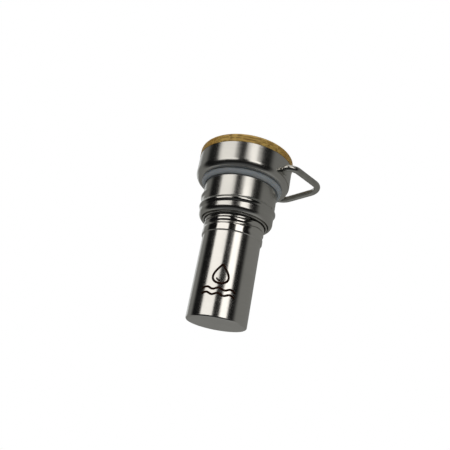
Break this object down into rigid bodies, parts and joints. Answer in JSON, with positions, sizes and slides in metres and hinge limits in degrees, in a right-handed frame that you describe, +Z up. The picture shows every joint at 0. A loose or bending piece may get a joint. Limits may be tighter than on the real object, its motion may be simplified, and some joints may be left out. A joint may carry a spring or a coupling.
{
  "type": "bottle cap with cartridge",
  "caption": "Screw-in steel bottle cap with a bamboo top, a hinged wire carry loop, a gasket and a steel cartridge screwed on underneath.",
  "frame": {"origin": "centre of the cartridge's flat base", "axes": "+Z up the common axis of the cartridge, plug and cap, with the bamboo disc on top; +X along the carry loop, away from the cap"},
  "size_m": [0.0718, 0.0544, 0.1],
  "materials": {
    "steel": "satin turned stainless steel",
    "steel_wire": "satin drawn stainless wire",
    "bamboo": "oiled golden-brown bamboo",
    "adhesive_pad": "matte",
    "gasket_silicone": "translucent blue-grey silicone",
    "seal_silicone": "translucent white silicone",
    "content": "clear, sealed in, never seen"
  },
  "bodies": {
    "cap": {"cap_shell": "steel", "bamboo_disc": "bamboo", "bonding_pad": "adhesive_pad", "threaded_plug": "steel", "gasket": "gasket_silicone", "cartridge_socket": "steel", "pin_pocket_front": "steel", "pin_pocket_back": "steel"},
    "loop": {"carry_loop": "steel_wire"},
    "seal": {"cartridge_seal": "seal_silicone"},
    "cartridge": {"cartridge_can": "steel", "cartridge_lid": "steel", "fill_plug": "steel", "sealed_content": "content"}
  },
  "joints": [
    {"name": "loop_hinge", "type": "hinge", "parent": "cap", "child": "loop", "pos_m": [0.0217, 0, 0.08675], "axis": [0, -1, 0], "range_deg": [-84, 62]},
    {"name": "cartridge_travel", "type": "slide", "parent": "cap", "child": "seal", "axis": [0, 0, -1], "range_m": [0, 0.0105]},
    {"name": "cartridge_unscrew", "type": "hinge", "parent": "seal", "child": "cartridge", "pos_m": [0, 0, 0], "axis": [0, 0, -1], "range_deg": [0, 1081]}
  ],
  "couplings": [
    {"joint": "cartridge_unscrew", "follows": "cartridge_travel", "rad_per_m": 1795.2}
  ]
}
